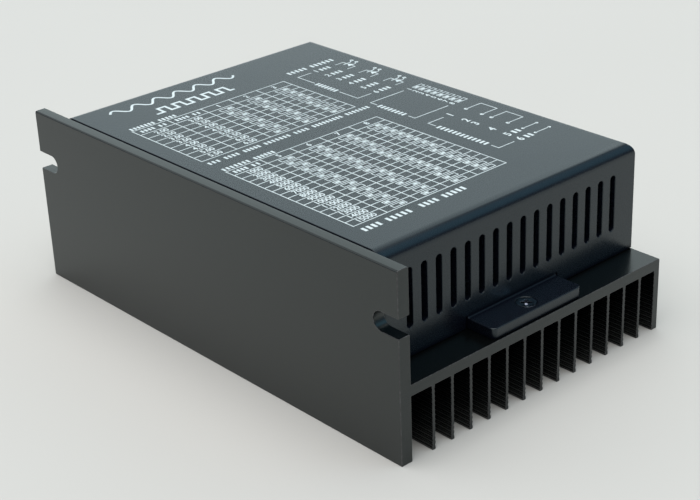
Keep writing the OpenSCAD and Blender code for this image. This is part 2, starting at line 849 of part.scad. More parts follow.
heat_sink();
cover();
cover_screws();
circuit_board();
board_standoffs();
board_screws();
power_transistors();
insulating_pad();
clamp_bar();
clamp_screws();
bulk_capacitors();
bridge_rectifier();
supply_inductor();
supply_fuse();
microcontroller();
optocouplers();
gate_drivers();
sense_shunts();
led_holder();
power_led();
fault_led();
dip_switch();
board_headers();
header_pins();
signal_plug();
signal_contacts();
power_plug();
power_contacts();
for (i = switches) dip_slider(i);
for (i = poles) plug_screw(signal_x, i);
for (i = poles) plug_cage(signal_x, i);
for (i = poles) plug_screw(power_x, i);
for (i = poles) plug_cage(power_x, i);
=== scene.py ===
import math

import bpy
from mathutils import Matrix, Vector


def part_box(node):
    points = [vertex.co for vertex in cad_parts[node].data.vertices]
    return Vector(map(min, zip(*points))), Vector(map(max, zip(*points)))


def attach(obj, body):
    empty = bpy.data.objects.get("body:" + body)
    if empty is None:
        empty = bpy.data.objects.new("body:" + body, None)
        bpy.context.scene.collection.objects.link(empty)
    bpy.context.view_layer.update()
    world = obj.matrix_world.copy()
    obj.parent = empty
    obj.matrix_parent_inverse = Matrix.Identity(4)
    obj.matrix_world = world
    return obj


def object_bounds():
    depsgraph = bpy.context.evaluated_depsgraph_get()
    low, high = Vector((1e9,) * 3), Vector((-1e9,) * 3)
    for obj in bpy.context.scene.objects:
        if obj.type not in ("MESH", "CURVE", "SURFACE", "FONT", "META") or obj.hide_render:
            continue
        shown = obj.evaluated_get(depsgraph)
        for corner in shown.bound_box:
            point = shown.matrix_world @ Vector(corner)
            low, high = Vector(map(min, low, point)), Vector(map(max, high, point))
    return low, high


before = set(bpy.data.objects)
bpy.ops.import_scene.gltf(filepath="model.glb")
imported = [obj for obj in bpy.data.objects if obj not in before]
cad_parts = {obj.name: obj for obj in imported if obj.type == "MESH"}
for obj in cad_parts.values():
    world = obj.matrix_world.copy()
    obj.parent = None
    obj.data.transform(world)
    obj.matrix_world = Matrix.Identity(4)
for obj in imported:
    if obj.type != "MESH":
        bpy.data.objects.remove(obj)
cad_low, cad_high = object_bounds()

MM = 0.001

# ---------- named values ----------

# Camera: where it stands, the point it looks at, its tilt to the side and its lens
CAMERA_PLACE = Vector((0.3158, -0.2255, 0.1793))
CAMERA_AIM = Vector((0.0359, 0.0210, 0.0))
CAMERA_ROLL = math.radians(-2.3)
CAMERA_LENS = 83.66

# Soft lights of the studio: azimuth and elevation of the middle, full and zero angle, strength, colour
OVERHEAD = dict(azimuth=-60, elevation=79, full=18, zero=44, strength=3.5, colour=(1.0, 0.99, 0.97))
WINDOW = dict(azimuth=133, elevation=24, full=11, zero=54, strength=0.94, colour=(0.86, 1.0, 1.0))
SKY = dict(azimuth=50, elevation=38, full=3, zero=30, strength=0.78, colour=(0.28, 0.62, 0.82))
ROOM = dict(azimuth=-147, elevation=37, full=6, zero=30, strength=1.1, colour=(0.94, 0.97, 1.0))
AMBIENT = (0.11, 0.13, 0.16)
BACKDROP = (0.72, 0.74, 0.71)

# Fins, in millimetres: their height above the feet, a depth from the mounting face that lies in the gap
# between the plate and the first fin, and the pitch of the fine ribs along the fins' sides
FIN_HEIGHT = 18.2
PLATE_TO_FIN_GAP = 8.0
FINE_RIB_PITCH = 0.65

# A face counts as turned to an axis when this share of its normal lies along it
FACING = 0.8

FLOOR_REACH = 8.0
FLOOR_COLOUR = (0.535, 0.528, 0.505)

# Edges, by their turn in degrees: rounded above the first, shaded sharp above the second, and joined into one
# flat face below the third. The gap, in millimetres, is how far apart points may lie and still be welded.
ROUNDED_ABOVE = 48
SHARP_ABOVE = 32
FLAT_BELOW = 0.4
WELD_GAP = 0.002

# Ink on the cover, in millimetres: its thickness above the paint and how deep it starts below it
INK_RISE = 0.02
INK_DEPTH = 0.01

# Print, in millimetres: the tables' left edge, the width of a ruled line, the height of a table's digits
TABLE_LEFT = 9.7
RULE = 0.28
DIGIT_HEIGHT = 2.05

# The blocks that stand in for small print, as shares of its height
BLOCK_PITCH = 0.75
BLOCK_WIDTH = 0.42


# ---------- materials ----------

class Finish:
    """A Principled material built up from noise and masks in object coordinates, in millimetres."""

    def __init__(self, name, colour, roughness, metallic=0.0):
        self.material = bpy.data.materials.new("finish_" + name)
        self.material.use_nodes = True
        self.tree = self.material.node_tree
        self.surface = self.tree.nodes["Principled BSDF"]
        self.set("Base Color", (*colour, 1.0))
        self.set("Roughness", roughness)
        self.set("Metallic", metallic)
        metres = self.add("ShaderNodeTexCoord").outputs["Object"]
        self.millimetres = self.vector_math("SCALE", metres, 1 / MM)
        axes = self.add("ShaderNodeSeparateXYZ")
        self.tree.links.new(self.millimetres, axes.inputs[0])
        self.x, self.y, self.z = axes.outputs
        facing = self.add("ShaderNodeSeparateXYZ")
        self.tree.links.new(self.add("ShaderNodeNewGeometry").outputs["Normal"], facing.inputs[0])
        self.facing_x, self.facing_y, self.facing_z = facing.outputs

    def add(self, kind):
        return self.tree.nodes.new(kind)

    def feed(self, socket, value):
        if isinstance(value, bpy.types.NodeSocket):
            self.tree.links.new(value, socket)
        else:
            socket.default_value = value

    def set(self, name, value):
        self.feed(self.surface.inputs[name], value)

    def math(self, operation, a, b=0.0):
        node = self.add("ShaderNodeMath")
        node.operation = operation
        self.feed(node.inputs[0], a)
        self.feed(node.inputs[1], b)
        return node.outputs[0]

    def vector_math(self, operation, a, scale):
        node = self.add("ShaderNodeVectorMath")
        node.operation = operation
        self.feed(node.inputs[0], a)
        self.feed(node.inputs["Scale"], scale)
        return node.outputs[0]

    def stretched(self, x, y, z):
        """Coordinates with one factor per axis: a small factor draws the pattern out along that axis."""
        node = self.add("ShaderNodeVectorMath")
        node.operation = "MULTIPLY"
        self.feed(node.inputs[0], self.millimetres)
        node.inputs[1].default_value = (x, y, z)
        return node.outputs[0]

    def noise(self, size, detail=2.0, vector=None):
        """Cloudy noise from 0 to 1 whose blotches are about size millimetres wide."""
        node = self.add("ShaderNodeTexNoise")
        self.feed(node.inputs["Vector"], vector or self.millimetres)
        node.inputs["Scale"].default_value = 1 / size
        node.inputs["Detail"].default_value = detail
        return node.outputs["Fac"]

    def cells(self, size, feature="F1"):
        node = self.add("ShaderNodeTexVoronoi")
        node.feature = feature
        self.feed(node.inputs["Vector"], self.millimetres)
        node.inputs["Scale"].default_value = 1 / size
        return node.outputs["Distance"]

    def openness(self, reach):
        """1 on open surface, falling towards 0 in corners within reach millimetres."""
        node = self.add("ShaderNodeAmbientOcclusion")
        node.inputs["Distance"].default_value = reach * MM
        return node.outputs["AO"]

    def remap(self, value, low, high, to_low=0.0, to_high=1.0):
        node = self.add("ShaderNodeMapRange")
        self.feed(node.inputs["Value"], value)
        limits = {"From Min": low, "From Max": high, "To Min": to_low, "To Max": to_high}
        for socket, number in limits.items():
            self.feed(node.inputs[socket], number)
        return node.outputs["Result"]

    def above(self, value, limit):
        return self.math("GREATER_THAN", value, limit)

    def between(self, value, low, high):
        return self.math("MULTIPLY", self.above(value, low), self.math("LESS_THAN", value, high))

    def either(self, a, b):
        return self.math("MAXIMUM", a, b)

    def mix(self, factor, a, b):
        node = self.add("ShaderNodeMix")
        node.data_type = "RGBA"
        self.feed(node.inputs["Factor"], factor)
        sockets = [s for s in node.inputs if s.type == "RGBA"]
        self.feed(sockets[0], a if isinstance(a, bpy.types.NodeSocket) else (*a, 1.0))
        self.feed(sockets[1], b if isinstance(b, bpy.types.NodeSocket) else (*b, 1.0))
        return next(s for s in node.outputs if s.type == "RGBA")

    def bump(self, height, depth):
        """Bump of depth millimetres; a second call adds to the first."""
        node = self.add("ShaderNodeBump")
        node.inputs["Distance"].default_value = depth * MM
        self.feed(node.inputs["Height"], height)
        previous = self.surface.inputs["Normal"].links
        if previous:
            self.tree.links.new(previous[0].from_socket, node.inputs["Normal"])
        self.set("Normal", node.outputs[0])


def shade(colour, factor):
    return tuple(c * factor for c in colour)


def black_anodising():
    """Dyed anodised extrusion: die lines, fine ribs on fins, cutter marks on the ends, painted shade on top
    faces.
    """
    low = millimetre_box("heat_sink")[0]
    colour = (0.0010, 0.0014, 0.0015)
    f = Finish("black_anodising", colour, 0.24)
    # Painted shade: upward faces get a weaker, warmer reflection, so the tops read darker than the sides.
    upward_painted_shade = f.above(f.facing_z, FACING)
    f.set("Specular IOR Level", f.remap(upward_painted_shade, 0.0, 1.0, 0.66, 0.55))
    f.set("Specular Tint", f.mix(upward_painted_shade, (0.90, 1.0, 0.99), (0.90, 0.93, 0.885)))
    end = f.above(f.math("ABSOLUTE", f.facing_x), FACING)
    side = f.math("SUBTRACT", 1.0, end)
    die_lines = f.noise(1.0, 4.0, f.stretched(0.012, 4.5, 4.5))
    cutter = f.noise(1.0, 3.0, f.stretched(1.0, 0.35, 9.0))
    cloud = f.noise(14.0, 3.0)
    grain = f.noise(0.25, 2.0)
    lighter = f.math("ADD", f.math("MULTIPLY", cloud, 0.6), f.math("MULTIPLY", grain, 0.4))
    f.set("Base Color", f.mix(lighter, shade(colour, 0.75), shade(colour, 1.35)))
    rough_side = f.remap(die_lines, 0.3, 0.7, 0.19, 0.27)
    rough_end = f.remap(cutter, 0.3, 0.7, 0.30, 0.42)
    on_sides = f.math("MULTIPLY", rough_side, side)
    on_ends = f.math("MULTIPLY", rough_end, end)
    f.set("Roughness", f.math("ADD", on_sides, on_ends))
    f.bump(f.math("MULTIPLY", die_lines, side), 0.012)
    f.bump(f.math("MULTIPLY", cutter, end), 0.03)
    f.bump(grain, 0.004)
    behind_plate = f.above(f.y, low.y + PLATE_TO_FIN_GAP)
    fins = f.math("MULTIPLY", behind_plate, f.math("LESS_THAN", f.z, low.z + FIN_HEIGHT))
    ribs = f.math("SINE", f.math("MULTIPLY", f.z, math.tau / FINE_RIB_PITCH))
    f.bump(f.math("MULTIPLY", ribs, f.math("MULTIPLY", fins, side)), 0.09)
    return f.material


def rubbed_edge():
    """The same dye on the rounded edges, thinned in worn specks; its lighter tone along the edges is partly a
    painted highlight.
    """
    f = Finish("rubbed_edge", (0.02, 0.021, 0.022), 0.3)
    f.set("Specular IOR Level", 0.78)
    # Partly real wear, partly painted highlight: the rounded edges are coloured lighter than the faces, with
    # lighter specks standing in for glints.
    wear_and_glint = f.remap(f.noise(0.9, 4.0), 0.45, 0.7)
    f.set("Base Color", f.mix(wear_and_glint, (0.004, 0.0045, 0.006), (0.05, 0.052, 0.055)))
    f.bump(f.noise(0.4, 3.0), 0.006)
    return f.material


def black_paint():
    """Baked satin paint on sheet metal: orange peel, a few dust nibs, painted shade in inside corners."""
    colour = (0.0028, 0.0040, 0.0078)
    f = Finish("black_paint", colour, 0.27)
    # Painted shade: the reflection is dimmed in inside corners and creases by an occlusion mask.
    f.set("Specular IOR Level", f.remap(f.openness(2.0), 0.7, 0.97, 0.04, 0.55))
    f.set("Specular Tint", (0.82, 0.97, 1.0, 1.0))
    peel = f.noise(0.55, 2.0)
    cloud = f.noise(22.0, 3.0)
    grain = f.noise(0.16, 1.0)
    f.set("Base Color", f.mix(f.noise(6.0, 4.0), shade(colour, 0.8), shade(colour, 1.35)))
    broad = f.remap(cloud, 0.3, 0.7, 0.25, 0.29)
    fine = f.remap(grain, 0.3, 0.7, -0.03, 0.03)
    f.set("Roughness", f.math("ADD", broad, fine))
    nibs = f.remap(f.cells(5.0), 0.0, 0.05, 1.0, 0.0)
    f.bump(peel, 0.010)
    f.bump(grain, 0.004)
    f.bump(nibs, 0.02)
    return f.material


def plated(name, colour, roughness, blotch=1.2):
    """Electroplated steel or tin: faint spangle, short scratches."""
    f = Finish(name, colour, roughness, 1.0)
    spangle = f.noise(blotch, 3.0)
    scratch = f.noise(1.0, 2.0, f.stretched(0.6, 7.0, 3.0))
    f.set("Base Color", f.mix(spangle, shade(colour, 0.72), shade(colour, 1.12)))
    f.set("Roughness", f.remap(spangle, 0.3, 0.7, roughness - 0.08, roughness + 0.1))
    f.bump(scratch, 0.006)
    f.bump(f.noise(0.12, 1.0), 0.003)
    return f.material


def moulded(name, colour, roughness, grain=0.22, subsurface=0.0):
    """Injection-moulded plastic: spark-eroded grain, slight flow marks and tone shifts."""
    f = Finish(name, colour, roughness)
    flow = f.noise(4.0, 3.0)
    fine = f.noise(grain, 2.0)
    f.set("Base Color", f.mix(flow, shade(colour, 0.86), shade(colour, 1.1)))
    f.set("Roughness", f.remap(fine, 0.3, 0.7, roughness - 0.06, roughness + 0.07))
    if subsurface:
        f.set("Subsurface Weight", subsurface)
        f.set("Subsurface Radius", (1.0, 1.0, 1.0))
        f.set("Subsurface Scale", 0.4 * MM)
    f.bump(fine, 0.008)
    f.bump(flow, 0.02)
    return f


def with_metal(f, mask, colour=(0.62, 0.61, 0.58), roughness=0.28):
    """Turns the part of a finish under the mask into bare plated metal."""
    base = f.surface.inputs["Base Color"]
    rough = f.surface.inputs["Roughness"]
    tint = f.mix(f.noise(0.7, 3.0), shade(colour, 0.75), shade(colour, 1.1))
    f.set("Base Color", f.mix(mask, base.links[0].from_socket, tint))
    f.set("Roughness", f.remap(mask, 0.0, 1.0, rough.links[0].from_socket, roughness))
    f.set("Metallic", mask)
    return f.material


def chip_epoxy(node, legs_top):
    """Dark moulding compound above the legs, tin below legs_top (millimetres in Z)."""
    f = moulded("epoxy_" + node, (0.022, 0.022, 0.024), 0.55, 0.15)
    return with_metal(f, f.math("LESS_THAN", f.z, legs_top))


def transistor_epoxy(node):
    """Moulded bodies on plated tabs that show past them, with plated leads at the other end."""
    tab_thickness, bare_tab_length, lead_length = 1.32, 6.6, 3.65
    low, high = millimetre_box(node)
    f = moulded("epoxy_" + node, (0.024, 0.024, 0.026), 0.5, 0.15)
    tab = f.math("LESS_THAN", f.z, low.z + tab_thickness)
    bare_tab = f.math("LESS_THAN", f.y, low.y + bare_tab_length)
    leads = f.above(f.y, high.y - lead_length)
    return with_metal(f, f.either(f.either(tab, bare_tab), leads))


def capacitor_sleeve(node):
    """Shrunk sleeve with a lighter stripe, over an aluminium can that shows at its end."""
    stripe_depth, lead_length, bare_end = 1.2, 1.99, 0.05
    low, high = millimetre_box(node)
    f = moulded("sleeve_" + node, (0.012, 0.018, 0.06), 0.22, 0.6)
    stripe = f.above(f.z, high.z - stripe_depth)
    base = f.surface.inputs["Base Color"].links[0].from_socket
    f.set("Base Color", f.mix(stripe, base, (0.35, 0.38, 0.42)))
    leads = f.math("LESS_THAN", f.y, low.y + lead_length)
    can_end = f.above(f.y, high.y - bare_end)
    return with_metal(f, f.either(leads, can_end), (0.72, 0.72, 0.72), 0.32)


def copper_winding(node):
    """Enamelled turns between two ferrite flanges."""
    flange, turn_pitch = 1.65, 0.55
    low, high = millimetre_box(node)
    copper = (0.42, 0.16, 0.06)
    f = Finish("winding_" + node, copper, 0.3)
    coil = f.between(f.z, low.z + flange, high.z - flange)
    turns = f.math("SINE", f.math("MULTIPLY", f.z, math.tau / turn_pitch))
    varnish = f.mix(f.noise(1.5, 3.0), shade(copper, 0.7), shade(copper, 1.25))
    ferrite = f.mix(f.noise(0.5, 3.0), (0.02, 0.02, 0.021), (0.05, 0.05, 0.052))
    f.set("Base Color", f.mix(coil, ferrite, varnish))
    f.set("Metallic", f.math("MULTIPLY", coil, 0.8))
    f.set("Roughness", f.remap(coil, 0.0, 1.0, 0.62, 0.28))
    f.bump(f.math("MULTIPLY", turns, coil), 0.12)
    f.bump(f.noise(0.3, 3.0), 0.02)
    return f.material


def fuse_finish(node):
    """Plated caps and clips, with a glass barrel between them."""
    cap_length = 5.5
    low, high = millimetre_box(node)
    f = moulded("fuse_" + node, (0.66, 0.74, 0.72), 0.06, 1.0)
    glass = f.between(f.x, low.x + cap_length, high.x - cap_length)
    f.set("Transmission Weight", f.math("MULTIPLY", glass, 0.75))
    return with_metal(f, f.math("SUBTRACT", 1.0, glass), (0.72, 0.72, 0.7), 0.24)


def lens(node, colour):
    """Tinted clear lens with tinned leads behind it."""
    lens_length = 7.52
    high = millimetre_box(node)[1]
    f = moulded("lens_" + node, colour, 0.12, 1.0)
    leads = f.math("LESS_THAN", f.y, high.y - lens_length)
    f.set("Transmission Weight", f.remap(leads, 0.0, 1.0, 0.45, 0.0))
    return with_metal(f, leads)


def solder_mask(node):
    """Green mask over copper: tracks, a poured plane and the bare glass-fibre edge."""
    track_pitch = 2.2
    f = Finish("mask_" + node, (0.01, 0.09, 0.035), 0.3)
    pour = f.remap(f.cells(9.0, "DISTANCE_TO_EDGE"), 0.04, 0.07)
    track = f.remap(f.math("SINE", f.math("MULTIPLY", f.x, math.tau / track_pitch)), 0.5, 0.8)
    copper = f.math("MAXIMUM", pour, f.math("MULTIPLY", track, f.above(f.noise(11.0), 0.52)))
    green = f.mix(copper, (0.004, 0.045, 0.02), (0.012, 0.115, 0.045))
    top = f.above(f.math("ABSOLUTE", f.facing_z), 0.5)
    fibre = f.mix(f.noise(0.3, 2.0, f.stretched(0.3, 0.3, 4.0)), (0.16, 0.17, 0.07), (0.30, 0.30, 0.16))
    f.set("Base Color", f.mix(top, fibre, green))
    f.set("Roughness", f.remap(top, 0.0, 1.0, 0.7, 0.27))
    f.bump(f.math("MULTIPLY", copper, top), 0.03)
    return f.material


def thermal_pad(node):
    """Silicone on glass cloth: the weave shows through."""
    thread_pitch = 0.8
    f = Finish("pad_" + node, (0.3, 0.34, 0.38), 0.6)
    warp = f.math("SINE", f.math("MULTIPLY", f.x, math.tau / thread_pitch))
    weft = f.math("SINE", f.math("MULTIPLY", f.y, math.tau / thread_pitch))
    weave = f.math("MULTIPLY", warp, weft)
    f.set("Base Color", f.mix(f.remap(weave, -1, 1), (0.24, 0.28, 0.32), (0.34, 0.38, 0.42)))
    f.bump(weave, 0.03)
    return f.material


def turned_brass(node):
    colour = (0.62, 0.46, 0.2)
    f = Finish("brass_" + node, colour, 0.26, 1.0)
    f.set("Base Color", f.mix(f.noise(3.0, 3.0), shade(colour, 0.72), shade(colour, 1.1)))
    f.bump(f.noise(1.0, 2.0, f.stretched(0.2, 0.2, 8.0)), 0.01)
    return f.material


def ink():
    """Screen-printed white ink, a little thin in places."""
    f = Finish("ink", (0.6, 0.68, 0.7), 0.5)
    f.set("Base Color", f.mix(f.noise(1.1, 4.0), (0.46, 0.54, 0.57), (0.72, 0.79, 0.8)))
    f.bump(f.noise(0.2, 2.0), 0.004)
    return f.material


def floor_finish():
    f = Finish("floor", FLOOR_COLOUR, 0.75)
    broad = f.noise(260.0, 3.0)
    fine = f.noise(1.5, 2.0)
    f.set("Base Color", f.mix(broad, shade(FLOOR_COLOUR, 0.975), shade(FLOOR_COLOUR, 1.025)))
    f.set("Specular IOR Level", 0.25)
    f.bump(fine, 0.01)
    return f.material


def millimetre_box(node):
    low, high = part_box(node)
    return low / MM, high / MM


def paint_nodes():
    """Gives each CAD node its finish: by name where it mixes materials, else by its record slot."""
    leg_height, rectifier_leg_rise = 0.3, 0.7
    legs_top = millimetre_box("microcontroller")[0].z + leg_height
    by_node = {
        "power_transistors": transistor_epoxy("power_transistors"),
        "gate_drivers": chip_epoxy("gate_drivers", legs_top),
        "microcontroller": chip_epoxy("microcontroller", legs_top),
        "bridge_rectifier": chip_epoxy("bridge_rectifier", legs_top + rectifier_leg_rise),
        "bulk_capacitors": capacitor_sleeve("bulk_capacitors"),
        "supply_inductor": copper_winding("supply_inductor"),
        "supply_fuse": fuse_finish("supply_fuse"),
        "power_led": lens("power_led", (0.03, 0.42, 0.09)),
        "fault_led": lens("fault_led", (0.5, 0.02, 0.015)),
        "circuit_board": solder_mask("circuit_board"),
        "insulating_pad": thermal_pad("insulating_pad"),
        "board_standoffs": turned_brass("board_standoffs"),
    }
    optocoupler = moulded("white_epoxy", (0.72, 0.72, 0.68), 0.5, 0.15)
    dip_body = moulded("red_plastic", (0.42, 0.018, 0.014), 0.4, 0.2)
    board_top = millimetre_box("circuit_board")[1].z
    by_slot = {
        "black_anodising": black_anodising(),
        "black_paint": black_paint(),
        "dark_zinc": plated("dark_zinc", (0.34, 0.36, 0.41), 0.15),
        "bright_zinc": plated("bright_zinc", (0.60, 0.62, 0.66), 0.27),
        "tinned_metal": plated("tinned_metal", (0.62, 0.61, 0.57), 0.3, 0.6),
        "shunt_metal": plated("shunt_metal", (0.48, 0.38, 0.29), 0.35),
        "black_nylon": moulded("black_nylon", (0.022, 0.022, 0.022), 0.42).material,
        "green_plastic": moulded("green_plastic", (0.018, 0.19, 0.06), 0.34, 0.2, 0.1).material,
        "white_plastic": moulded("white_plastic", (0.75, 0.75, 0.71), 0.38, 0.2, 0.15).material,
        "white_epoxy": with_metal(optocoupler, optocoupler.math("LESS_THAN", optocoupler.z, legs_top)),
        "red_plastic": with_metal(dip_body, dip_body.math("LESS_THAN", dip_body.z, board_top)),
    }
    for name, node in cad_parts.items():
        slot = node.material_slots[0]
        slot.material = by_node[name] if name in by_node else by_slot[slot.material.name]


# ---------- softened edges ----------

def sharp_by_angle(limit):
    """Geometry nodes that smooth a mesh and keep edges steeper than limit degrees sharp."""
    group = bpy.data.node_groups.new("sharp_by_angle", "GeometryNodeTree")
    for direction in ("INPUT", "OUTPUT"):
        group.interface.new_socket("Mesh", in_out=direction, socket_type="NodeSocketGeometry")
    start = group.nodes.new("NodeGroupInput")
    end = group.nodes.new("NodeGroupOutput")
    angle = group.nodes.new("GeometryNodeInputMeshEdgeAngle")
    steeper = group.nodes.new("FunctionNodeCompare")
    steeper.operation = "GREATER_THAN"
    steeper.inputs[1].default_value = math.radians(limit)
    normals = group.nodes.new("GeometryNodeSetMeshNormal")
    normals.mode = "SHARPNESS"
    group.links.new(angle.outputs["Unsigned Angle"], steeper.inputs[0])
    group.links.new(start.outputs[0], normals.inputs["Mesh"])
    group.links.new(steeper.outputs[0], normals.inputs["Edge Sharpness"])
    group.links.new(normals.outputs[0], end.inputs[0])
    return group


SHARP_BY_ANGLE = sharp_by_angle(SHARP_ABOVE)


def soften(node_name, width, segments=2, edge_material=None, join_flats=False):
    """Rounds a CAD node's edges by width millimetres with modifiers; its own mesh stays as it is.

    join_flats first merges the triangles of each flat face, so that none is narrower than the rounding.
    """
    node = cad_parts[node_name]
    weld = node.modifiers.new("weld_seams", "WELD")
    weld.merge_threshold = WELD_GAP * MM
    if join_flats:
        plain = node.modifiers.new("plain_faces", "DECIMATE")
        plain.decimate_type = "DISSOLVE"
        plain.angle_limit = math.radians(FLAT_BELOW)
    bevel = node.modifiers.new("soft_edges", "BEVEL")
    bevel.width = width * MM
    bevel.segments = segments
    bevel.limit_method = "ANGLE"
    bevel.angle_limit = math.radians(ROUNDED_ABOVE)
    bevel.use_clamp_overlap = False
    bevel.loop_slide = False
    if edge_material:
        node.data.materials.append(edge_material)
        bevel.material = len(node.data.materials) - 1
    smooth = node.modifiers.new("smooth_rounds", "NODES")
    smooth.node_group = SHARP_BY_ANGLE
    flat = node.modifiers.new("flat_faces", "WEIGHTED_NORMAL")
    flat.keep_sharp = True


def soften_nodes():
    soften("heat_sink", 0.18, 2, rubbed_edge(), join_flats=True)
    soften("cover", 0.24, 3, join_flats=True)
    soften("cover_screws", 0.08)
    soften("signal_plug", 0.12)
    soften("power_plug", 0.12)


# ---------- printing on the cover ----------

class Ink:
    """Thin closed prisms lying on the cover's top.

    Places are in millimetres as the print is read from the notched plate's left end: across is the
    row frame's Y and down is its X.
    """

    def __init__(self):
        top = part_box("cover")[1].z / MM
        self.low = top - INK_DEPTH
        self.high = top + INK_RISE
        self.vertices = []
        self.faces = []

    def prism(self, outline):
        """Closed prism over an outline of (across, down) points, in either turning direction."""
        area = sum(a[0] * b[1] - b[0] * a[1] for a, b in zip(outline, outline[1:] + outline[:1]))
        if area > 0:
            outline = outline[::-1]
        first = len(self.vertices)
        count = len(outline)
        for height in (self.low, self.high):
            self.vertices += [(down, across, height) for across, down in outline]
        bottom = [first + i for i in range(count)]
        self.faces.append(bottom[::-1])
        self.faces.append([i + count for i in bottom])
        for i in range(count):
            j = (i + 1) % count
            self.faces.append([first + i, first + j, first + j + count, first + i + count])

    def bar(self, across, down, to_across, to_down):
        self.prism([(across, down), (to_across, down), (to_across, to_down), (across, to_down)])

    def line(self, points, width):
        """Stroke with mitred corners along an open run of points."""
        left = []
        right = []
        for i, point in enumerate(points):
            here = Vector(point)
            before = (here - Vector(points[i - 1])).normalized() if i > 0 else None
            after = (Vector(points[i + 1]) - here).normalized() if i < len(points) - 1 else None
            before = before or after
            after = after or before
            normal = Vector((-before.y - after.y, before.x + after.x)).normalized()
            reach = width / 2 / max(0.3, normal.dot(Vector((-before.y, before.x))))
            left.append(tuple(here + normal * reach))
            right.append(tuple(here - normal * reach))
        self.prism(left + right[::-1])

    def dot(self, across, down, radius, sides=14):
        turn = math.tau / sides
        angles = [i * turn for i in range(sides)]
        self.prism([(across + radius * math.cos(a), down + radius * math.sin(a)) for a in angles])

    def frame_box(self, across, down, to_across, to_down, width):
        """Outline of a rectangle, as four bars that meet without overlapping."""
        self.bar(across, down, to_across, down + width)
        self.bar(across, to_down - width, to_across, to_down)
        self.bar(across, down + width, across + width, to_down - width)
        self.bar(to_across - width, down + width, to_across, to_down - width)

    def digits(self, text, across, down, height, squeeze=0.9):
        """Bold digits centred on a point, from Blender's own font, whose digits are 0.73 of its size high."""
        curve = bpy.data.curves.new("digits", "FONT")
        curve.body = text
        curve.align_x = "CENTER"
        curve.align_y = "CENTER"
        curve.size = height / 0.73
        curve.resolution_u = 3
        curve.offset = height * 0.028
        curve.extrude = 0.5
        holder = bpy.data.objects.new("digits", curve)
        mesh = bpy.data.meshes.new_from_object(holder)
        first = len(self.vertices)
        for vertex in mesh.vertices:
            level = self.high if vertex.co.z > 0 else self.low
            self.vertices.append((down - vertex.co.y, across + vertex.co.x * squeeze, level))
        for polygon in mesh.polygons:
            self.faces.append([first + i for i in polygon.vertices])
        bpy.data.meshes.remove(mesh)
        bpy.data.objects.remove(holder)
        bpy.data.curves.remove(curve)

    def grid(self, acrosses, downs, width):
        """Ruled table: full-length lines across, and short lines between them."""
        half = width / 2
        for down in downs:
            self.bar(acrosses[0] - half, down - half, acrosses[-1] + half, down + half)
        for across in acrosses:
            for down, next_down in zip(downs, downs[1:]):
                self.bar(across - half, down + half, across + half, next_down - half)

    def words(self, across, down, lengths, height, upright=False):
        """Stand-in for a line of small print: one row of equal blocks per word, along the across axis.

        With upright set, the line runs along the down axis instead.
        """
        place = down if upright else across
        half = height / 2
        for length in lengths:
            blocks = max(1, round(length / (BLOCK_PITCH * height)))
            edges = even(place, place + length, blocks)
            for start in edges[:-1]:
                stop = start + BLOCK_WIDTH * height
                if upright:
                    self.bar(across - half, start, across + half, stop)
                else:
                    self.bar(start, down - half, stop, down + half)
            place = edges[-1] + BLOCK_PITCH * height

    def to_object(self, name):
        mesh = bpy.data.meshes.new(name)
        mesh.from_pydata([Vector(v) * MM for v in self.vertices], [], self.faces)
        mesh.validate()
        piece = bpy.data.objects.new(name, mesh)
        bpy.context.scene.collection.objects.link(piece)
        return piece


def even(start, stop, count):
    return [start + (stop - start) * i / count for i in range(count + 1)]


def print_titles(ink_work):
    """Two plain symbols: a sine wave, and a train of step pulses."""
    waves = 6
    points_per_wave = 20
    left, right, middle, reach = 13.3, 58.1, -56.6, 1.75
    places = even(left, right, waves * points_per_wave)
    step = math.tau / points_per_wave
    points = [(across, middle - reach * math.sin(i * step)) for i, across in enumerate(places)]
    ink_work.line(points, 0.75)

    pulses = 5
    left, right, high, low = 22.6, 49.3, -50.4, -46.8
    edges = even(left, right, pulses * 2)
    points = []
    for i in range(pulses * 2):
        level = low if i % 2 == 0 else high
        points += [(edges[i], level), (edges[i + 1], level)]
    points += [(right, low), (right + 1.6, low)]
    ink_work.line(points, 0.85)


def print_switch(ink_work, across, down, on):
    """Little picture of a slide switch: a frame with its knob at one end."""
    half_w, half_h, rule, knob_w = 2.3, 0.88, 0.26, 1.5
    ink_work.frame_box(across - half_w, down - half_h, across + half_w, down + half_h, rule)
    inset = rule + 0.22
    knob_left = across + half_w - inset - knob_w if on else across - half_w + inset
    ink_work.bar(knob_left, down - half_h + inset, knob_left + knob_w, down + half_h - inset)


def print_table(ink_work, acrosses, first_down, header, pitch, rows, numbers, first_switch):
    """Ruled table: number columns first, then one column of switch pictures per switch."""
    downs = [first_down] + [first_down + header + pitch * i for i in range(rows + 1)]
    ink_work.grid(acrosses, downs, RULE)
    centres = [(a + b) / 2 for a, b in zip(acrosses, acrosses[1:])]
    number_columns = len(numbers)
    for column, centre in enumerate(centres):
        head = first_down + header / 2
        if column < number_columns:
            ink_work.words(centre - 4.3, head, (4.9, 3.0), 1.7)
        else:
            ink_work.digits(str(first_switch + column - number_columns), centre, head, DIGIT_HEIGHT)
        for row in range(rows):
            down = first_down + header + pitch * (row + 0.5)
            if column < number_columns:
                ink_work.digits(numbers[column](row), centre, down, DIGIT_HEIGHT)
            else:
                print_switch(ink_work, centre, down, (row >> (column - number_columns)) % 2 == 0)


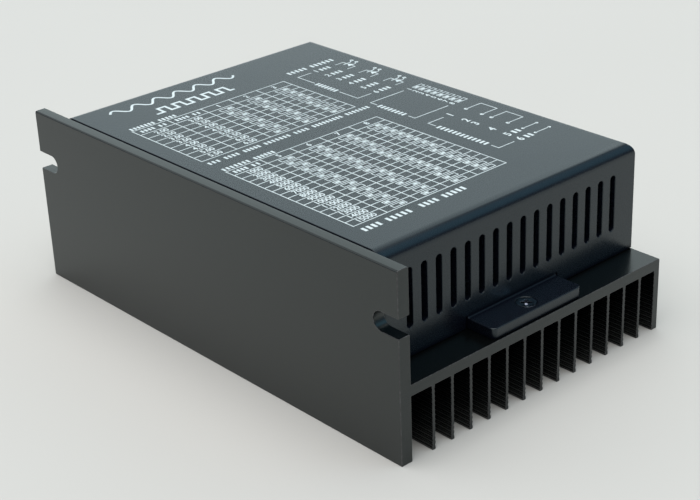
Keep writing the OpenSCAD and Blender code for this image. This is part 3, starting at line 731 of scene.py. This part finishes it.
def print_tables(ink_work):
    """Two ruled tables under lines of small print: switches 1 to 3, then switches 5 to 8."""
    small, large = 1.7, 2.1
    ink_work.words(TABLE_LEFT + 0.4, -42.3, (8.6, 6.2), small)
    print_table(
        ink_work, (TABLE_LEFT, 21.7, 33.6, 43.9, 54.3, 64.9), -40.9, 4.0, 3.46, 8,
        (lambda row: f"{2 + row / 2:.2f}", lambda row: f"{3 + row / 2:.2f}"), 1)
    ink_work.words(TABLE_LEFT + 0.2, -6.5, (4.2, 5.2, 6.0, 9.4, 5.4, 11.2, 9.0), small)
    ink_work.words(TABLE_LEFT + 0.2, -0.5, (9.4, 7.2), small)
    print_table(
        ink_work, (TABLE_LEFT, 21.0, 31.6, 42.2, 52.9, 63.6), 1.0, 3.55, 3.05, 15,
        (lambda row: str(1000 * (row + 1)),), 5)
    ink_work.words(TABLE_LEFT + 0.2, 53.5, (6.4, 8.6), large)
    ink_work.words(29.2, 53.5, (6.4, 8.2), large)


def print_bracket(ink_work, spine, top, bottom, arm, break_top, break_bottom):
    """Three-sided bracket whose long side stops for a label."""
    ink_work.line([(arm, top), (spine, top), (spine, break_top)], RULE)
    ink_work.line([(spine, break_bottom), (spine, bottom), (arm, bottom)], RULE)
    ink_work.words(spine, break_top + 0.8, (break_bottom - break_top - 1.6,), 1.9, upright=True)


def print_diode(ink_work, across, top, bottom):
    """Light-emitting diode symbol between two terminals, with two arrows leaving it."""
    middle = (top + bottom) / 2
    ink_work.line([(across - 3.2, top), (across, top), (across, middle - 1.2)], RULE)
    ink_work.line([(across, middle + 1.2), (across, bottom), (across - 3.2, bottom)], RULE)
    ink_work.prism([(across - 1.3, middle + 1.2), (across + 1.3, middle + 1.2), (across, middle - 0.8)])
    ink_work.bar(across - 1.3, middle - 1.3, across + 1.3, middle - 0.85)
    for shift in (-1.2, 0.9):
        foot = (across + 1.5, middle + shift)
        tip = (across + 3.0, middle + shift - 0.9)
        ink_work.line([foot, tip], 0.36)
        ink_work.dot(*tip, 0.62)


def print_signal_side(ink_work):
    """Key to the six signal terminals: a bracket, their numbers, and a diode for each pair."""
    ink_work.words(70.0, -44.7, (7.6, 9.4), 2.0)
    rows = (-40.3, -34.9, -29.8, -24.6, -19.1, -13.8)
    print_bracket(ink_work, 70.1, rows[0], rows[-1], 75.4, -32.6, -21.6)
    for number, row in enumerate(rows, start=1):
        ink_work.digits(str(number), 77.4, row, 2.2)
        ink_work.words(79.0, row, (4.4,), 1.9)
    for first in (0, 2, 4):
        print_diode(ink_work, 88.4, rows[first], rows[first + 1])


def print_setting_side(ink_work):
    """Key to the eight switches: a bracket, their numbers, and a small switch picture for each."""
    top, bottom = -8.4, 9.8
    print_bracket(ink_work, 70.1, top, bottom, 83.3, -5.6, 7.2)
    edges = even(-9.2, 10.6, 8)
    for position, (down, next_down) in enumerate(zip(edges, edges[1:]), start=1):
        middle = (down + next_down) / 2
        ink_work.digits(str(position), 85.4, middle, 1.9)
        ink_work.frame_box(87.0, middle - 0.85, 91.0, middle + 0.85, 0.26)
        ink_work.bar(87.5, middle - 0.4, 89.1, middle + 0.4)


def print_power_side(ink_work):
    """Key to the six power terminals: a bracket, their numbers, two coils and two supply lines."""
    top, bottom = 15.3, 41.9
    print_bracket(ink_work, 69.8, top, bottom, 75.9, 18.4, 39.2)
    rows = (15.3, 21.5, 25.1, 31.3, 37.1, 41.7)
    for number, row in enumerate(rows, start=1):
        ink_work.digits(str(number), 78.6, row, 2.7)
    for first in (0, 2):
        start, stop = rows[first], rows[first + 1]
        ink_work.line([(84.9, start), (91.0, start), (91.0, stop), (84.9, stop)], RULE)
        for down in (start, stop):
            ink_work.dot(84.9, down, 0.62)
    for down in rows[4:]:
        ink_work.words(80.6, down, (3.2,), 2.1)
        ink_work.line([(84.6, down), (90.2, down)], RULE)
        for across in (84.6, 90.2):
            ink_work.dot(across, down, 0.5)


def cover_printing():
    ink_work = Ink()
    print_titles(ink_work)
    print_tables(ink_work)
    print_signal_side(ink_work)
    print_setting_side(ink_work)
    print_power_side(ink_work)
    piece = ink_work.to_object("cover_printing")
    piece.data.materials.append(ink())
    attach(piece, "housing")


# ---------- studio ----------

def direction(azimuth, elevation):
    """Unit vector towards a compass azimuth (0 is +X, 90 is +Y) and a height, in degrees."""
    a = math.radians(azimuth)
    e = math.radians(elevation)
    return (math.cos(a) * math.cos(e), math.sin(a) * math.cos(e), math.sin(e))


def soft_light(tree, ray, azimuth, elevation, full, zero, strength, colour):
    """Colour of one round soft light in the sky, fading from its full angle to its zero angle."""
    towards = tree.nodes.new("ShaderNodeVectorMath")
    towards.operation = "DOT_PRODUCT"
    tree.links.new(ray, towards.inputs[0])
    towards.inputs[1].default_value = direction(azimuth, elevation)
    fade = tree.nodes.new("ShaderNodeMapRange")
    fade.interpolation_type = "SMOOTHSTEP"
    tree.links.new(towards.outputs["Value"], fade.inputs["Value"])
    fade.inputs["From Min"].default_value = math.cos(math.radians(zero))
    fade.inputs["From Max"].default_value = math.cos(math.radians(full))
    lamp = tree.nodes.new("ShaderNodeVectorMath")
    lamp.operation = "SCALE"
    lamp.inputs[0].default_value = shade(colour, strength)
    tree.links.new(fade.outputs["Result"], lamp.inputs["Scale"])
    return lamp.outputs[0]


def studio_world():
    world = bpy.data.worlds.new("studio")
    world.use_nodes = True
    bpy.context.scene.world = world
    tree = world.node_tree
    ray = tree.nodes.new("ShaderNodeTexCoord").outputs["Generated"]
    total = None
    for lamp in (OVERHEAD, WINDOW, SKY, ROOM):
        light = soft_light(tree, ray, **lamp)
        add = tree.nodes.new("ShaderNodeVectorMath")
        add.operation = "ADD"
        tree.links.new(light, add.inputs[0])
        if total is None:
            add.inputs[1].default_value = AMBIENT
        else:
            tree.links.new(total, add.inputs[1])
        total = add.outputs[0]
    seen = tree.nodes.new("ShaderNodeMix")
    seen.data_type = "RGBA"
    colours = [s for s in seen.inputs if s.type == "RGBA"]
    camera_ray = tree.nodes.new("ShaderNodeLightPath").outputs["Is Camera Ray"]
    tree.links.new(camera_ray, seen.inputs["Factor"])
    tree.links.new(total, colours[0])
    colours[1].default_value = (*BACKDROP, 1.0)
    background = tree.nodes["Background"]
    tree.links.new(next(s for s in seen.outputs if s.type == "RGBA"), background.inputs["Color"])


def studio_floor():
    level = cad_low.z
    reach = FLOOR_REACH
    mesh = bpy.data.meshes.new("studio_floor")
    corners = [(x * reach, y * reach, level) for x, y in ((-1, -1), (1, -1), (1, 1), (-1, 1))]
    mesh.from_pydata(corners, [], [(0, 1, 2, 3)])
    floor = bpy.data.objects.new("studio_floor", mesh)
    bpy.context.scene.collection.objects.link(floor)
    mesh.materials.append(floor_finish())


def camera():
    data = bpy.data.cameras.new("camera")
    data.lens = CAMERA_LENS
    data.clip_start = 0.01
    view = bpy.data.objects.new("camera", data)
    bpy.context.scene.collection.objects.link(view)
    turn = (CAMERA_AIM - CAMERA_PLACE).to_track_quat("-Z", "Y").to_matrix().to_4x4()
    view.matrix_world = Matrix.Translation(CAMERA_PLACE) @ turn @ Matrix.Rotation(CAMERA_ROLL, 4, "Z")
    bpy.context.scene.camera = view
    bpy.context.scene.view_settings.view_transform = "Standard"


paint_nodes()
soften_nodes()
cover_printing()
studio_world()
studio_floor()
camera()
